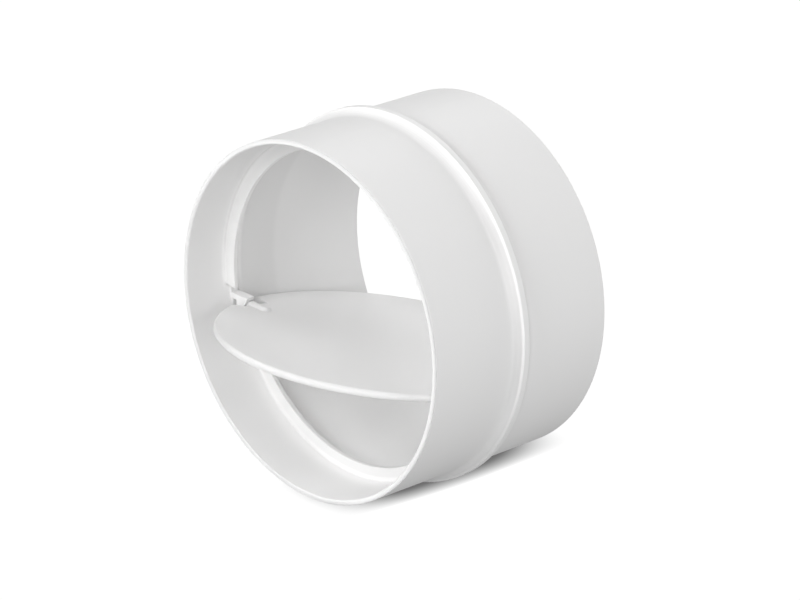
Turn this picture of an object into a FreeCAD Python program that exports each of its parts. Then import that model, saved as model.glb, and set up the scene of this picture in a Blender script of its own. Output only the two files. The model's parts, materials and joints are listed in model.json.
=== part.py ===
import FreeCAD, Part
import math
import os
import re

import Sketcher

# Duct backdraft damper, in millimetres. Y runs along the airflow, from inlet to outlet, and Z is up.
# The origin is on the duct axis, at the inlet-side foot of the stop ring, where the inlet duct butts.
sizes = {
    # Tube with two spigots and, between them, a stop ring whose hollow flanks run out on them.
    # The bore narrows from inlet to outlet, more steeply past the stop ring
    "spigot_radius": 49.0,
    "inlet_length": 26.5,
    "outlet_length": 26.5,
    "inlet_wall": 1.4,
    "ring_wall": 1.8,
    "outlet_wall": 2.5,
    "rim_chamfer": 0.3,
    "stop_ring_height": 2.0,
    "stop_ring_width": 1.8,
    "stop_ring_run": 3.0,
    # Half-ring seats, one on each side of the shut flap, that end a gap above the lug bars and below
    # the lug legs
    "seat_height": 3.7,
    "seat_thickness": 1.3,
    "seat_overlap": 1.2,
    "seat_clearance": 0.1,
    "upper_seat_gap": 2.25,
    "lower_seat_gap": 0.95,
    # Flap, hinged below the duct axis
    "flap_thickness": 2.0,
    "flap_plane": 10.95,
    "flap_chamfer": 0.6,
    "hinge_drop": 11.65,
    "open_gap": 0.26,
    # Trunnions, and the notches that let the flap swing past the lugs
    "pin_radius": 0.8,
    "pin_clearance": 0.06,
    "pin_past_leg": 0.6,
    "pin_chamfer": 0.3,
    "ridge_radius": 1.8,
    "ridge_length": 7.2,
    "ridge_chamfer": 0.6,
    "ridge_past_notch": 0.95,
    "notch_front": 3.4,
    "notch_gap": 2.5,
    "end_play": 0.75,
    # Bearing lugs: a thin pad on the bore wall up to the upper seat, and a bar off it that carries
    # a tapered leg with the bearing hole
    "lug_front": 1.4,
    "lug_rear": 1.3,
    "lug_rise": 2.8,
    "bar_thickness": 1.6,
    "wall_pad": 0.7,
    "lug_slot": 1.4,
    "leg_head": 4.5,
    "leg_foot": 2.2,
    "leg_drop": 1.8,
}

# Lengths and angles that follow from the driving sizes
derived = {
    "inlet_bore": "spigot_radius - inlet_wall",
    "outlet_bore": "spigot_radius - outlet_wall",
    "middle_bore": "spigot_radius - ring_wall",
    "buried_radius": "spigot_radius - inlet_wall / 2",
    "ring_radius": "spigot_radius + stop_ring_height",
    "flank_radius": "(stop_ring_height^2 + stop_ring_run^2) / (2 * stop_ring_height)",
    "flank_angle": "2 * atan(stop_ring_height / stop_ring_run)",
    "ring_rear": "stop_ring_run + stop_ring_width",
    "ring_middle": "stop_ring_run + stop_ring_width / 2",
    "outlet_foot": "ring_rear + stop_ring_run",
    "outlet_rim": "outlet_foot + outlet_length",
    "seat_opening": "middle_bore - seat_height",
    "flap_radius": "seat_opening + seat_overlap",
    "seat_gap": "flap_thickness + 2 * seat_clearance",
    "wall_at_hinge": "sqrt(middle_bore^2 - hinge_drop^2)",
    "slot_outer": "wall_at_hinge - wall_pad",
    "leg_outer": "slot_outer - lug_slot",
    "lug_inner": "leg_outer - leg_head",
    "lug_top": "lug_rise - hinge_drop",
    "pad_top": "lug_top + upper_seat_gap",
    "leg_end": "-hinge_drop - leg_drop",
    "notch_inner": "lug_inner - end_play",
    "notch_outer": "flap_radius + end_play",
    "notch_rear": "lug_rise + notch_gap",
    "notch_flare": "notch_front + notch_outer - notch_inner",
    # The open flap stops with its rim one open gap from the bore, tipped past the level
    "open_depth": "sqrt(middle_bore^2 - (flap_radius + open_gap)^2) - flap_thickness / 2",
    "open_angle": "90 + asin(open_depth / hinge_drop - 1) / 1 deg",
}

doc = FreeCAD.newDocument("backdraft_damper")
sheet = doc.addObject("Spreadsheet::Sheet", "Sizes")
for row, (alias, content) in enumerate({**sizes, **derived}.items(), start=1):
    sheet.set(f"A{row}", alias)
    sheet.set(f"B{row}", f"={content}" if alias in derived else str(content))
    sheet.setAlias(f"B{row}", alias)
doc.recompute()


def bound(text):
    return re.sub(r"\b[a-z]+_[a-z_]+\b", lambda word: f"Sizes.{word.group()}", text)


def value(text):
    return float(sheet.evalExpression(text))


def new_body(label):
    body = doc.addObject("PartDesign::Body", label)
    body.Label = label
    return body


def origin_plane(body, role):
    return next(plane for plane in body.Origin.OriginFeatures if plane.Role == role)


def new_sketch(body, name, role, offset="0"):
    sketch = body.newObject("Sketcher::SketchObject", name)
    sketch.AttachmentSupport = [(origin_plane(body, role), "")]
    sketch.MapMode = "FlatFace"
    sketch.setExpression(".AttachmentOffset.Base.z", bound(offset))
    return sketch


def dimension(sketch, kind, *where, size):
    index = sketch.addConstraint(Sketcher.Constraint(kind, *where, value(size)))
    sketch.setExpression(f"Constraints[{index}]", bound(size))


def place_point(sketch, geometry, end, across, up):
    # A point on an axis of the sketch is held by that axis, any other by its distance
    for kind, axis, size in (("DistanceX", -2, across), ("DistanceY", -1, up)):
        if size == "0":
            sketch.addConstraint(Sketcher.Constraint("PointOnObject", geometry, end, axis))
        else:
            dimension(sketch, kind, -1, 1, geometry, end, size=size)


def polygon(sketch, corners):
    points = [FreeCAD.Vector(value(across), value(up)) for across, up in corners]
    for start, end in zip(points, points[1:] + points[:1]):
        sketch.addGeometry(Part.LineSegment(start, end))
    for index, (across, up) in enumerate(corners):
        before = (index - 1) % len(corners)
        sketch.addConstraint(Sketcher.Constraint("Coincident", before, 2, index, 1))
        place_point(sketch, index, 1, across, up)


def circle(sketch, across, up, radius):
    centre = FreeCAD.Vector(value(across), value(up))
    index = sketch.addGeometry(Part.Circle(centre, FreeCAD.Vector(0, 0, 1), value(radius)))
    place_point(sketch, index, 3, across, up)
    dimension(sketch, "Radius", index, size=radius)


def extrude(body, kind, name, sketch, length, symmetric=False, reverse=False):
    feature = body.newObject(f"PartDesign::{kind}", name)
    feature.Profile = sketch
    feature.SideType = "Symmetric" if symmetric else "One side"
    feature.Reversed = reverse
    feature.setExpression("Length", bound(length))
    return feature


def revolve(body, name, sketch):
    feature = body.newObject("PartDesign::Revolution", name)
    feature.Profile = sketch
    feature.ReferenceAxis = (sketch, ["H_Axis"])
    feature.Angle = 360
    return feature


def mirror_sideways(body, name, features):
    feature = body.newObject("PartDesign::Mirrored", name)
    feature.Originals = features
    feature.MirrorPlane = (origin_plane(body, "YZ_Plane"), [""])
    body.Tip = feature
    doc.recompute()
    return feature


def chamfer_circles(body, name, base, size, circles):
    # Chamfers each edge that is a circle about Y with the given radius and place along Y
    wanted = [(value(radius), value(along)) for radius, along in circles]
    edges = []
    for index, edge in enumerate(base.Shape.Edges, start=1):
        if not isinstance(edge.Curve, Part.Circle) or abs(edge.Curve.Axis.y) < 0.999:
            continue
        found = (edge.Curve.Radius, edge.Curve.Center.y)
        if any(math.dist(found, place) < 1e-4 for place in wanted):
            edges.append(f"Edge{index}")
    feature = body.newObject("PartDesign::Chamfer", name)
    feature.Base = (base, edges)
    feature.setExpression("Size", bound(size))
    body.Tip = feature
    doc.recompute()


def half_seat(body, name, level, front, upper):
    # Half a flat ring inside the bore, its outer edge buried in the wall and its ends level
    sketch = new_sketch(body, f"{name}Profile", "XZ_Plane", front)
    centre = FreeCAD.Vector(0, 0)
    arcs = []
    for radius in ("seat_opening", "buried_radius"):
        reach = math.asin(value(f"({level}) / {radius}"))
        span = (reach, math.pi - reach) if upper else (math.pi - reach, 2 * math.pi + reach)
        round_edge = Part.Circle(centre, FreeCAD.Vector(0, 0, 1), value(radius))
        arcs.append(sketch.addGeometry(Part.ArcOfCircle(round_edge, *span)))
        sketch.addConstraint(Sketcher.Constraint("Coincident", arcs[-1], 3, -1, 1))
        dimension(sketch, "Radius", arcs[-1], size=radius)
    inner, outer = (sketch.Geometry[arc] for arc in arcs)
    for end, inner_end, outer_end in (
        (1, inner.StartPoint, outer.StartPoint),
        (2, inner.EndPoint, outer.EndPoint),
    ):
        line = sketch.addGeometry(Part.LineSegment(inner_end, outer_end))
        sketch.addConstraint(Sketcher.Constraint("Coincident", arcs[0], end, line, 1))
        sketch.addConstraint(Sketcher.Constraint("Coincident", arcs[1], end, line, 2))
        sketch.addConstraint(Sketcher.Constraint("Horizontal", line))
        dimension(sketch, "DistanceY", -1, 1, line, 1, size=level)
    return extrude(body, "Pad", name, sketch, "seat_thickness", reverse=True)


def make_duct_body():
    body = new_body("duct_body")

    # Each flank of the stop ring follows a hollow arc in equal flats, level with the spigot at its foot
    flats = 6
    flank = []
    for step in range(1, flats):
        turn = f"flank_angle * {step} / {flats}"
        flank.append((f"flank_radius * sin({turn})", f"spigot_radius + flank_radius * (1 - cos({turn}))"))
    tube = new_sketch(body, "TubeProfile", "YZ_Plane")
    polygon(tube, [
        ("-inlet_length", "inlet_bore"),
        ("-inlet_length", "spigot_radius"),
        ("0", "spigot_radius"),
        *flank,
        ("stop_ring_run", "ring_radius"),
        ("ring_rear", "ring_radius"),
        *[(f"outlet_foot - {along}", up) for along, up in reversed(flank)],
        ("outlet_foot", "spigot_radius"),
        ("outlet_rim", "spigot_radius"),
        ("outlet_rim", "outlet_bore"),
        ("ring_middle", "middle_bore"),
    ])
    shell = revolve(body, "Tube", tube)
    doc.recompute()
    chamfer_circles(body, "RimChamfers", shell, "rim_chamfer", [
        ("spigot_radius", "-inlet_length"),
        ("inlet_bore", "-inlet_length"),
        ("spigot_radius", "outlet_rim"),
        ("outlet_bore", "outlet_rim"),
    ])

    # The shut flap lies between the two half seats with the same clearance on both faces
    upper_front = "flap_plane + seat_gap / 2 + seat_thickness"
    half_seat(body, "UpperSeat", "pad_top", upper_front, True)
    half_seat(body, "LowerSeat", "leg_end - lower_seat_gap", "flap_plane - seat_gap / 2", False)

    lug = new_sketch(body, "LugProfile", "XZ_Plane", "flap_plane + lug_front")
    wall = "sqrt(buried_radius^2 - hinge_drop^2)"
    polygon(lug, [
        ("sqrt(buried_radius^2 - pad_top^2)", "pad_top"),
        ("sqrt(middle_bore^2 - pad_top^2) - wall_pad", "pad_top"),
        ("sqrt(middle_bore^2 - lug_top^2) - wall_pad", "lug_top"),
        ("lug_inner", "lug_top"),
        ("leg_outer - leg_foot", "leg_end"),
        ("leg_outer", "leg_end"),
        ("leg_outer", "lug_top - bar_thickness"),
        ("slot_outer", "lug_top - bar_thickness"),
        ("slot_outer", "leg_end"),
        (wall, "leg_end"),
    ])
    lug_pad = extrude(body, "Pad", "Lug", lug, "lug_front + lug_rear", reverse=True)
    bearing = new_sketch(body, "BearingProfile", "YZ_Plane", "lug_inner")
    circle(bearing, "-flap_plane", "-hinge_drop", "pin_radius + pin_clearance")
    hole = extrude(body, "Pocket", "Bearing", bearing, "leg_head + lug_slot / 2", reverse=True)
    mirror_sideways(body, "BothLugs", [lug_pad, hole])
    return body


def make_flap():
    # Drawn shut, with the hinge line along X through the origin of its own frame
    body = new_body("flap")

    disc = new_sketch(body, "DiscProfile", "XZ_Plane")
    circle(disc, "0", "hinge_drop", "flap_radius")
    plate = extrude(body, "Pad", "Disc", disc, "flap_thickness", symmetric=True)
    doc.recompute()
    chamfer_circles(body, "DiscChamfer", plate, "flap_chamfer", [
        ("flap_radius", "flap_thickness / 2"),
        ("flap_radius", "-flap_thickness / 2"),
    ])

    notch = new_sketch(body, "NotchProfile", "XZ_Plane")
    polygon(notch, [
        ("notch_inner", "notch_rear"),
        ("notch_outer", "notch_rear"),
        ("notch_outer", "-notch_flare"),
        ("notch_inner", "-notch_front"),
    ])
    cut = extrude(body, "Pocket", "Notch", notch, "2 * flap_thickness", symmetric=True)

    trunnion = new_sketch(body, "TrunnionProfile", "XZ_Plane")
    ridge_end = "notch_inner + ridge_past_notch"
    pin_end = "leg_outer + pin_past_leg"
    polygon(trunnion, [
        (f"{ridge_end} - ridge_length", "0"),
        (f"{ridge_end} - ridge_length", "ridge_radius - ridge_chamfer"),
        (f"{ridge_end} - ridge_length + ridge_chamfer", "ridge_radius"),
        (ridge_end, "ridge_radius"),
        (ridge_end, "pin_radius"),
        (f"{pin_end} - pin_chamfer", "pin_radius"),
        (pin_end, "pin_radius - pin_chamfer"),
        (pin_end, "0"),
    ])
    pin = revolve(body, "Trunnion", trunnion)
    mirror_sideways(body, "BothTrunnions", [cut, pin])

    body.Placement = FreeCAD.Placement(FreeCAD.Vector(), FreeCAD.Rotation(FreeCAD.Vector(-1, 0, 0), 90))
    body.setExpression(".Placement.Base.y", bound("-flap_plane"))
    body.setExpression(".Placement.Base.z", bound("-hinge_drop"))
    body.setExpression(".Placement.Rotation.Angle", bound("open_angle"))
    return body


bodies = [make_duct_body(), make_flap()]
doc.recompute()

failed = [item.Name for item in doc.Objects if {"Invalid", "Error"} & set(item.State)]
if failed:
    raise SystemExit(f"not built: {', '.join(failed)}")
for body in bodies:
    if body.Shape.isNull() or not body.Shape.isValid() or len(body.Shape.Solids) != 1:
        raise SystemExit(f"{body.Label} is not one valid solid")

os.makedirs("parts", exist_ok=True)
for body in bodies:
    body.Shape.exportStep(f"parts/{body.Label}.step")
    print(f"{body.Label}: {body.Shape.Volume / 1000:.2f} cubic centimetres")
print(f"open angle from shut: {value('open_angle'):.4f} degrees")
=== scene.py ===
import json
import math

import bpy
from mathutils import Euler, Matrix, Vector


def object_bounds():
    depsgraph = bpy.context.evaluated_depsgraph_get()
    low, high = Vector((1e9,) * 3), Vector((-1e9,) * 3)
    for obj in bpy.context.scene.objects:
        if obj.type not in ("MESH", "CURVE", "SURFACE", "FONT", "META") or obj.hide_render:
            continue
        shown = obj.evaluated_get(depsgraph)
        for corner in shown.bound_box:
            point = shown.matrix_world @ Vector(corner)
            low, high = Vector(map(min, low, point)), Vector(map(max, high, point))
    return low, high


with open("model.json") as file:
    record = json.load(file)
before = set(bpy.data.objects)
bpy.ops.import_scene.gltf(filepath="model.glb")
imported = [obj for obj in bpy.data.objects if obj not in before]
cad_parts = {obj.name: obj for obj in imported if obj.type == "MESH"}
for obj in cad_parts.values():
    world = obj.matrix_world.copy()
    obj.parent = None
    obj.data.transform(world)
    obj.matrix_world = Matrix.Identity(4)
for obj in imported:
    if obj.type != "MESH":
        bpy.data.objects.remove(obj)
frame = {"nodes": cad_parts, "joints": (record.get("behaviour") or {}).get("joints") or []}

# Duct backdraft damper: the surface of its two mouldings, with light and shade painted into their colour,
# a white studio and the camera.
# Lengths are in metres, in the frame of the solids: Y along the airflow, Z up, origin on the duct axis.

cadBox = [list(corner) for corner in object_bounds()]
ductBody = frame["nodes"]["duct_body"]
flap = frame["nodes"]["flap"]
print("frame loaded:", ", ".join(sorted(frame["nodes"])))


# Shading maths: a Wire is one output of a node, and an expression on wires adds Math nodes
class Wire:
    def __init__(self, tree, socket=None):
        self.tree = tree
        self.socket = socket

    # Adds a node: its settings first, then its sockets, each from a wire or a plain value
    def node(self, kind, settings=None, sockets=None, output=0):
        made = self.tree.nodes.new(kind)
        for name, value in (settings or {}).items():
            setattr(made, name, value)
        for name, value in (sockets or {}).items():
            if isinstance(value, Wire):
                self.tree.links.new(value.socket, made.inputs[name])
            else:
                made.inputs[name].default_value = value
        return Wire(self.tree, made.outputs[output] if len(made.outputs) else None)

    def maths(self, operation, first, second=0.0):
        return self.node("ShaderNodeMath", {"operation": operation}, {0: first, 1: second})

    def vectorMaths(self, operation, second=(0, 0, 0), output="Vector"):
        return self.node("ShaderNodeVectorMath", {"operation": operation}, {0: self, 1: second}, output)

    def axes(self):
        parts = self.node("ShaderNodeSeparateXYZ", {}, {"Vector": self}).socket.node.outputs
        return [Wire(self.tree, part) for part in parts]

    # Fades from 0 at the first value to 1 at the last, which may be the smaller one
    def fade(self, first, last):
        sockets = {"Value": self, "From Min": first, "From Max": last}
        return self.node("ShaderNodeMapRange", {"interpolation_type": "SMOOTHSTEP"}, sockets)

    # Goes over from this vector to another. Sockets of a Mix node go by number, because its names repeat
    def blend(self, other, share):
        return self.node("ShaderNodeMix", {"data_type": "VECTOR"}, {0: share, 4: self, 5: other}, 1)

    # Turns a share into a colour between two
    def tint(self, first, last):
        return self.node("ShaderNodeMix", {"data_type": "RGBA"}, {0: self, 6: (*first, 1), 7: (*last, 1)}, 2)

    def __add__(self, other):
        return self.maths("ADD", self, other)

    def __radd__(self, other):
        return self.maths("ADD", other, self)

    def __sub__(self, other):
        return self.maths("SUBTRACT", self, other)

    def __rsub__(self, other):
        return self.maths("SUBTRACT", other, self)

    def __mul__(self, other):
        return self.maths("MULTIPLY", self, other)

    def __rmul__(self, other):
        return self.maths("MULTIPLY", other, self)

    def __pow__(self, other):
        return self.maths("POWER", self, other)

    def __rpow__(self, other):
        return self.maths("POWER", other, self)

    def __abs__(self):
        return self.maths("ABSOLUTE", self)


def emptyTree(owner):
    owner.use_nodes = True
    owner.node_tree.nodes.clear()
    return Wire(owner.node_tree)


# Satin white moulded plastic: faintly clouded, with a slow waviness from cooling under a fine
# spark-eroded grain. The grain also makes the roughness uneven, about the middle of its noise
plasticSet = {
    "white": (0.860, 0.857, 0.854),
    "cloud": (0.842, 0.841, 0.840),
    "clouds": {"length": 0.030, "detail": 3.0},
    "waves": {"length": 0.016, "detail": 1.0, "height": 0.000012},
    "grain": {"length": 0.0006, "detail": 2.0, "height": 0.000003},
    "noiseMiddle": 0.5,
    "bumpDistance": 1.0,
    "roughness": 0.42,
    "roughnessSpread": 0.10,
    "edgeSamples": 8,
}


def noise(place, pattern):
    sockets = {"Vector": place, "Scale": 1 / pattern["length"], "Detail": pattern["detail"]}
    return place.node("ShaderNodeTexNoise", {}, sockets, "Fac")


def softEdges(place, radius):
    return place.node("ShaderNodeBevel", {"samples": plasticSet["edgeSamples"]}, {"Radius": radius})


# A direction on the piece, as the normal that a shader takes
def facingNormal(place, direction):
    ways = {"vector_type": "NORMAL", "convert_from": "OBJECT", "convert_to": "WORLD"}
    return place.node("ShaderNodeVectorTransform", ways, {"Vector": direction})


# The given function yields a moulding's rounded normal at a place and a tone of painted light and shade
def plasticMaterial(name, normalAndPaintedLight):
    material = bpy.data.materials.new(name)
    tree = emptyTree(material)
    place = tree.node("ShaderNodeTexCoord", output="Object")
    clouded = noise(place, plasticSet["clouds"]).tint(plasticSet["white"], plasticSet["cloud"])
    waves = noise(place, plasticSet["waves"])
    grain = noise(place, plasticSet["grain"])
    rounded, tone = normalAndPaintedLight(place)
    # The tone scales the colour: light and shade painted into it
    colour = tree.node("ShaderNodeVectorMath", {"operation": "SCALE"}, {0: clouded, "Scale": tone})
    height = waves * plasticSet["waves"]["height"] + grain * plasticSet["grain"]["height"]
    normal = tree.node("ShaderNodeBump", {}, {
        "Height": height,
        "Distance": plasticSet["bumpDistance"],
        "Normal": rounded,
    })
    uneven = plasticSet["roughnessSpread"] * (grain - plasticSet["noiseMiddle"])
    shader = tree.node("ShaderNodeBsdfPrincipled", {}, {
        "Base Color": colour,
        "Roughness": plasticSet["roughness"] + uneven,
        "Normal": normal,
    })
    tree.node("ShaderNodeOutputMaterial", {}, {"Surface": shader})
    return material


# The body's edges are crisp, but the seats meet the bore wall in a wide fillet, and the chamfer of the
# inlet lip is shaded to face the way the rim does.
# A limit is a coordinate with the values where it sets in and where it is full; reach is the distance
# from the duct axis. A zone is where all its limits hold. Its tone, which follows the photograph, is painted
# light and shade: the share by which it is paler than the rest, or with a minus duller. Painted light lifts
# the upper seat, the creases at the seats' feet, the wall beside the flap and at the bore's foot, the rim's
# top and right side and the ring's crest. Painted shade dims the lower seat's face, the wall past the upper
# seat, the rim's lower left, the ring and its inlet flank
bodyLook = {
    "crispRound": 0.0004,
    "filletRound": 0.0013,
    "lipFacing": (0, -1, 0),
    "limits": {
        "inBore": ("reach", 0.0484, 0.0480),
        "nearWall": ("reach", 0.0458, 0.0464),
        "seatFront": ("y", -0.0161, -0.0151),
        "seatBack": ("y", -0.0071, -0.0081),
        "seatEdge": ("reach", 0.0473, 0.0468),
        "seatRise": ("z", -0.004, 0.028),
        "cornerFront": ("y", -0.0147, -0.0135),
        "cornerEdge": ("reach", 0.0465, 0.0470),
        "cornerFoot": ("z", -0.010, -0.004),
        "lowerTop": ("z", -0.010, -0.020),
        "lowerFace": ("y", -0.0120, -0.0104),
        "lowerFront": ("y", -0.0158, -0.0098),
        "lowerBack": ("y", -0.0080, -0.0090),
        "lowerEdge": ("reach", 0.0465, 0.0471),
        "besideTop": ("z", -0.009, -0.016),
        "besideFoot": ("z", -0.034, -0.022),
        "besideLeft": ("x", -0.030, -0.040),
        "footRise": ("z", -0.030, -0.044),
        "behindSeats": ("y", -0.016, -0.006),
        "behindSide": ("x", -0.022, -0.004),
        "beforeSeats": ("y", -0.006, -0.016),
        "beforeSide": ("x", -0.014, 0.004),
        "pastSeat": ("y", -0.0081, -0.0071),
        "pastEnd": ("y", 0.0052, 0.0030),
        "pastFoot": ("z", -0.020, -0.010),
        "rimFace": ("y", -0.0256, -0.0262),
        "rimLow": ("z", 0.0, -0.030),
        "rimLeft": ("x", 0.026, 0.010),
        "rimHigh": ("z", 0.010, 0.036),
        "rimNotHigh": ("z", 0.036, 0.010),
        "rimRight": ("x", 0.010, 0.026),
        "lipFace": ("y", -0.02605, -0.02620),
        "lipEdge": ("reach", 0.0483, 0.0486),
        "ringFoot": ("reach", 0.0493, 0.0505),
        "ringCrest": ("reach", 0.0502, 0.0506),
        "flankFoot": ("reach", 0.0490, 0.0493),
        "flankTop": ("reach", 0.0505, 0.0501),
        "flankEnd": ("y", 0.0032, 0.0027),
        "flankHigh": ("z", 0.042, 0.028),
        "flankLow": ("z", -0.024, -0.006),
    },
    "fillet": ["inBore", "nearWall", "seatFront", "seatBack"],
    "lip": ["lipFace", "lipEdge"],
    # Painted light where the share is positive, painted shade where it is negative, zone by zone
    "paintedLightAndShade": {
        "upperSeat": (0.13, ["seatFront", "seatBack", "seatEdge", "seatRise"]),
        "upperCrease": (0.02, ["inBore", "nearWall", "seatFront", "seatBack", "seatRise"]),
        "upperCorner": (0.13, ["inBore", "cornerFront", "cornerEdge", "seatBack", "cornerFoot"]),
        "lowerSeat": (-0.045, ["inBore", "lowerFace", "lowerBack", "lowerTop"]),
        "lowerCrease": (0.045, ["inBore", "lowerFront", "lowerBack", "lowerEdge", "lowerTop"]),
        "besideFlap": (0.08, ["inBore", "nearWall", "besideTop", "besideFoot", "besideLeft", "seatBack"]),
        "footBehindSeats": (0.08, ["inBore", "nearWall", "footRise", "behindSeats", "behindSide"]),
        "footBeforeSeats": (0.08, ["inBore", "nearWall", "footRise", "beforeSeats", "beforeSide"]),
        "wallPastSeat": (-0.05, ["inBore", "pastSeat", "pastEnd", "pastFoot"]),
        "rimDim": (-0.07, ["rimFace", "rimLow", "rimLeft"]),
        "rimTop": (0.10, ["rimFace", "rimHigh"]),
        "rimSide": (0.10, ["rimFace", "rimNotHigh", "rimRight"]),
        "ring": (-0.05, ["ringFoot"]),
        "crest": (0.08, ["ringCrest"]),
        "flank": (-0.13, ["flankFoot", "flankTop", "flankEnd", "flankHigh", "flankLow"]),
    },
}


def bodyNormalAndPaintedLight(place):
    x, y, z = place.axes()
    axes = {"x": x, "y": y, "z": z, "reach": (x * x + z * z) ** 0.5}
    limits = {}
    for name, (axis, start, full) in bodyLook["limits"].items():
        limits[name] = axes[axis].fade(start, full)

    def zone(names):
        return math.prod(limits[name] for name in names)

    crisp = softEdges(place, bodyLook["crispRound"])
    wide = softEdges(place, bodyLook["filletRound"])
    edged = crisp.blend(wide, zone(bodyLook["fillet"]))
    rounded = edged.blend(facingNormal(place, bodyLook["lipFacing"]), zone(bodyLook["lip"]))
    # Painted light and shade: each zone's share lightens the colour, and a negative share darkens it
    paintedLightAndShade = [share * zone(names) for share, names in bodyLook["paintedLightAndShade"].values()]
    return rounded, 1 + sum(paintedLightAndShade)


# The flap's edges are softened, and the chamfer under its rim is rounded over to face outwards with the
# rim. Its left end is a touch duller, as painted shade. The disc's centre and the way its underside faces at
# rest follow from the hinge
flapLook = {
    "edgeRound": 0.0006,
    "radius": 0.0447,
    "rimReach": (-0.0007, -0.0004),
    "rimDepth": (0.0002, 0.0005),
    "paintedShadeShare": 0.05,
    "paintedShadeEnd": (0.0, -0.030),
}


def flapNormalAndPaintedShade(place):
    hinge = frame["joints"][0]
    swing = math.radians(hinge["range_deg"][1])
    pivot = Vector(hinge["pos_m"])
    centre = pivot - pivot.z * Vector((0, math.sin(swing), math.cos(swing)))
    underside = (0, math.cos(swing), -math.sin(swing))
    outwards = place.vectorMaths("SUBTRACT", centre)
    past = outwards.vectorMaths("LENGTH", output="Value") - flapLook["radius"]
    depth = outwards.vectorMaths("DOT_PRODUCT", underside, "Value")
    underRim = past.fade(*flapLook["rimReach"]) * depth.fade(*flapLook["rimDepth"])
    facing = facingNormal(place, outwards.vectorMaths("NORMALIZE"))
    rounded = softEdges(place, flapLook["edgeRound"]).blend(facing, underRim)
    x = place.axes()[0]
    # Painted shade: the left end is a touch duller
    return rounded, 1 - flapLook["paintedShadeShare"] * x.fade(*flapLook["paintedShadeEnd"])


def dress(piece, material):
    piece.data.materials.clear()
    piece.data.materials.append(material)


dress(ductBody, plasticMaterial("ductWhite", bodyNormalAndPaintedLight))
dress(flap, plasticMaterial("flapWhite", flapNormalAndPaintedShade))
print("finishes done")


# The photograph's camera: seen from the inlet side, right of the axis and a little from above
cameraSet = {
    "azimuth": 47.1541,
    "elevation": 21.3232,
    "objectSpin": -1.0084,  # the object lies turned this much about its own axis
    "target": (0.0, 0.0039, 0.0),
    "distance": 1.1528,
    "lens": 196.897,
    "shift": (0.01049, -0.00646),
    "clip": (0.05, 40.0),
}


def makeCamera():
    data = bpy.data.cameras.new("photoCamera")
    data.lens = cameraSet["lens"]
    data.shift_x, data.shift_y = cameraSet["shift"]
    data.clip_start, data.clip_end = cameraSet["clip"]
    camera = bpy.data.objects.new("photoCamera", data)
    bpy.context.scene.collection.objects.link(camera)
    azimuth = math.radians(cameraSet["azimuth"])
    elevation = math.radians(cameraSet["elevation"])
    spin = Matrix.Rotation(math.radians(cameraSet["objectSpin"]), 3, "Y")
    turn = spin @ Euler((math.pi / 2 - elevation, 0, azimuth)).to_matrix()
    place = Vector(cameraSet["target"]) + turn @ Vector((0, 0, cameraSet["distance"]))
    camera.matrix_world = Matrix.Translation(place) @ turn.to_4x4()
    bpy.context.scene.camera = camera


makeCamera()
print("camera done")


# A white floor with the object's contact shadow: a band along Y that darkens evenly towards the line
# under the duct axis, up to a soft limit. It sets in by the inlet rim, where it is narrower, and dies
# away behind the outlet rim.
# The camera sees one sheet of it at full white; a dimmer sheet in its place lights the object from below
floorSet = {
    "halfWidth": 6.0,
    "seenGlow": 1.03,
    "bounceGlow": 0.358,
    "shadeReach": 0.0194,
    "shadeTaper": 0.0080,
    "taperEnd": (-0.0692, 0.0218),
    "shadeSlope": 87.0,
    "shadeDeepest": 0.57,
    "shadeSoftness": 0.10,
    "shadeStart": (-0.0277, -0.0001),
    "shadeEnd": (0.0589, 0.0246),
    "displayPower": 2.2,
    "black": (0, 0, 0),
    "white": (1, 1, 1),
}


def floorShade(tree):
    place = tree.node("ShaderNodeTexCoord", output="Object")
    x, y = place.axes()[:2]
    along = y.fade(*floorSet["shadeStart"]) * y.fade(*floorSet["shadeEnd"])
    taper = floorSet["shadeTaper"] * (1 - y.fade(*floorSet["taperEnd"]))
    inside = tree.maths("MAXIMUM", floorSet["shadeReach"] - abs(x) - taper, 0.0)
    shade = tree.node("ShaderNodeMath", {"operation": "SMOOTH_MIN"}, {
        0: inside * along * floorSet["shadeSlope"],
        1: floorSet["shadeDeepest"],
        2: floorSet["shadeSoftness"],
    })
    return (1 - shade) ** floorSet["displayPower"]


def floorSheet(name, brightness):
    reach = floorSet["halfWidth"]
    level = cadBox[0][2]
    corners = [(-reach, -reach, level), (reach, -reach, level), (reach, reach, level), (-reach, reach, level)]
    mesh = bpy.data.meshes.new(name)
    mesh.from_pydata(corners, [], [(0, 1, 2, 3)])
    sheet = bpy.data.objects.new(name, mesh)
    bpy.context.scene.collection.objects.link(sheet)
    material = bpy.data.materials.new(name)
    tree = emptyTree(material)
    tone = floorShade(tree).tint(floorSet["black"], floorSet["white"])
    glow = tree.node("ShaderNodeEmission", {}, {"Color": tone, "Strength": brightness})
    tree.node("ShaderNodeOutputMaterial", {}, {"Surface": glow})
    sheet.data.materials.append(material)
    sheet.visible_shadow = False
    return sheet


seenFloor = floorSheet("seenFloor", floorSet["seenGlow"])
seenFloor.visible_diffuse = False
seenFloor.visible_glossy = False
bounceFloor = floorSheet("bounceFloor", floorSet["bounceGlow"])
bounceFloor.visible_camera = False


# A unit vector that points towards an azimuth, from the inlet round to the right, and an elevation in degrees
def heading(azimuth, elevation):
    across = math.radians(azimuth)
    rise = math.radians(elevation)
    return Vector((math.sin(across) * math.cos(rise), -math.cos(across) * math.cos(rise), math.sin(rise)))


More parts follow.
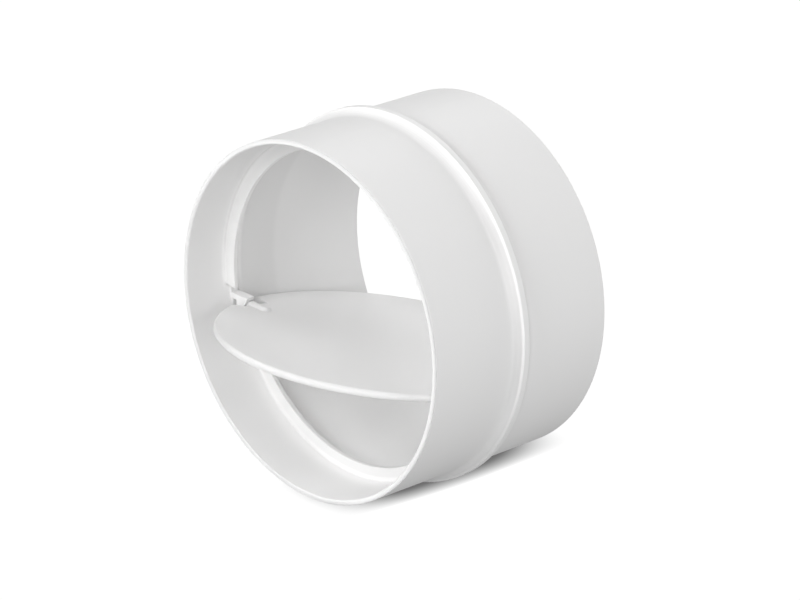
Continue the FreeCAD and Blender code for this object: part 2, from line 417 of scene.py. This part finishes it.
# Softboxes round the object: the direction each shines from in degrees, its width in metres and power in
# watts. Those behind the object leave no sheen on it
lightSet = {
    "distance": 2.0,
    "boxes": {
        "inlet": {"azimuth": 0, "elevation": 32, "width": 1.2, "power": 20.6, "sheen": True},
        "inletLow": {"azimuth": 0, "elevation": 15, "width": 1.2, "power": 3.4, "sheen": True},
        "inletRight": {"azimuth": 45, "elevation": 15, "width": 1.2, "power": 12.9, "sheen": True},
        "right": {"azimuth": 90, "elevation": 15, "width": 1.2, "power": 13.2, "sheen": True},
        "inletLeft": {"azimuth": -67, "elevation": 35, "width": 1.2, "power": 12.1, "sheen": True},
        "inletLeftLow": {"azimuth": -45, "elevation": 0, "width": 1.2, "power": 5.4, "sheen": True},
        "outletLeft": {"azimuth": -135, "elevation": 15, "width": 1.2, "power": 7.9, "sheen": False},
        "outletLeftHigh": {"azimuth": -135, "elevation": 50, "width": 1.2, "power": 12.1, "sheen": False},
        "outlet": {"azimuth": 180, "elevation": 15, "width": 1.2, "power": 18.2, "sheen": False},
        "outletRight": {"azimuth": 135, "elevation": 30, "width": 3.6, "power": 8.6, "sheen": False},
    },
}


def makeLights():
    for name, box in lightSet["boxes"].items():
        data = bpy.data.lights.new(name, "AREA")
        data.shape = "DISK"
        data.size = box["width"]
        data.energy = box["power"]
        light = bpy.data.objects.new(name, data)
        bpy.context.scene.collection.objects.link(light)
        towards = heading(box["azimuth"], box["elevation"])
        place = Matrix.Translation(towards * lightSet["distance"])
        light.matrix_world = place @ towards.to_track_quat("Z", "Y").to_matrix().to_4x4()
        light.visible_camera = False
        light.visible_glossy = box["sheen"]


# Only the camera sees this white, above the floor's far edge
def makeBackdrop():
    world = bpy.data.worlds.new("backdrop")
    tree = emptyTree(world)
    white = (*floorSet["white"], 1)
    glow = tree.node("ShaderNodeBackground", {}, {"Color": white, "Strength": floorSet["seenGlow"]})
    tree.node("ShaderNodeOutputWorld", {}, {"Surface": glow})
    for ray in ("diffuse", "glossy", "transmission", "scatter"):
        setattr(world.cycles_visibility, ray, False)
    bpy.context.scene.world = world


makeLights()
makeBackdrop()
bpy.context.scene.view_settings.view_transform = "Standard"
print("studio done")
